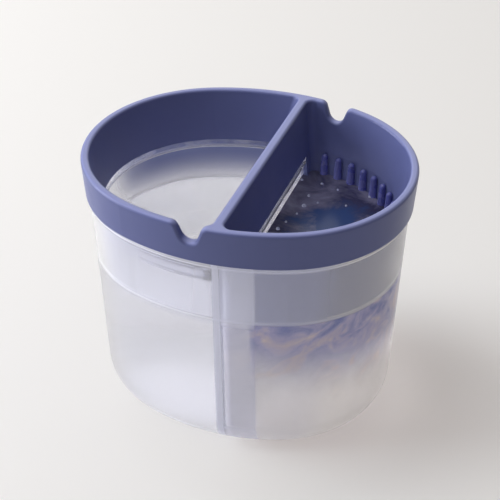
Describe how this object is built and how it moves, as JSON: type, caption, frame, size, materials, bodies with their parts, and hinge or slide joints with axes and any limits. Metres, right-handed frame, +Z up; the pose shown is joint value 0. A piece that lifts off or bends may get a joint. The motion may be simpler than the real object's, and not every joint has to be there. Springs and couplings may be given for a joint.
{
  "type": "brush washer with lid",
  "caption": "Oval paint-brush washing cup with a clean and a rinse chamber, and a lift-off collar lid with brush rests, soft seals and a scrubbing comb.",
  "frame": {"origin": "centre of the collar's outline, on the surface the washer stands on", "axes": "+Z up; +X along the long diameter, from the clean chamber to the rinse chamber; +Y to the back, away from the front brush rest"},
  "size_m": [0.1298, 0.1087, 0.108],
  "materials": {
    "frosted_polypropylene": "natural polypropylene, injection-moulded, translucent with a fine satin frost",
    "blue_polypropylene": "dusty blue-violet polypropylene, solid colour, low sheen",
    "clear_silicone": "clear soft silicone, smooth",
    "soft_blue_elastomer": "darker blue thermoplastic elastomer, soft and matte"
  },
  "bodies": {
    "tub": {"tub": "frosted_polypropylene"},
    "lid": {"lid": "blue_polypropylene", "clean_seal": "clear_silicone", "rinse_seal": "clear_silicone", "scrub_comb": "soft_blue_elastomer"}
  },
  "joints": [
    {"name": "lid_lift", "type": "slide", "parent": "tub", "child": "lid", "axis": [0, 0, 1], "range_m": [0, 0.06]}
  ]
}
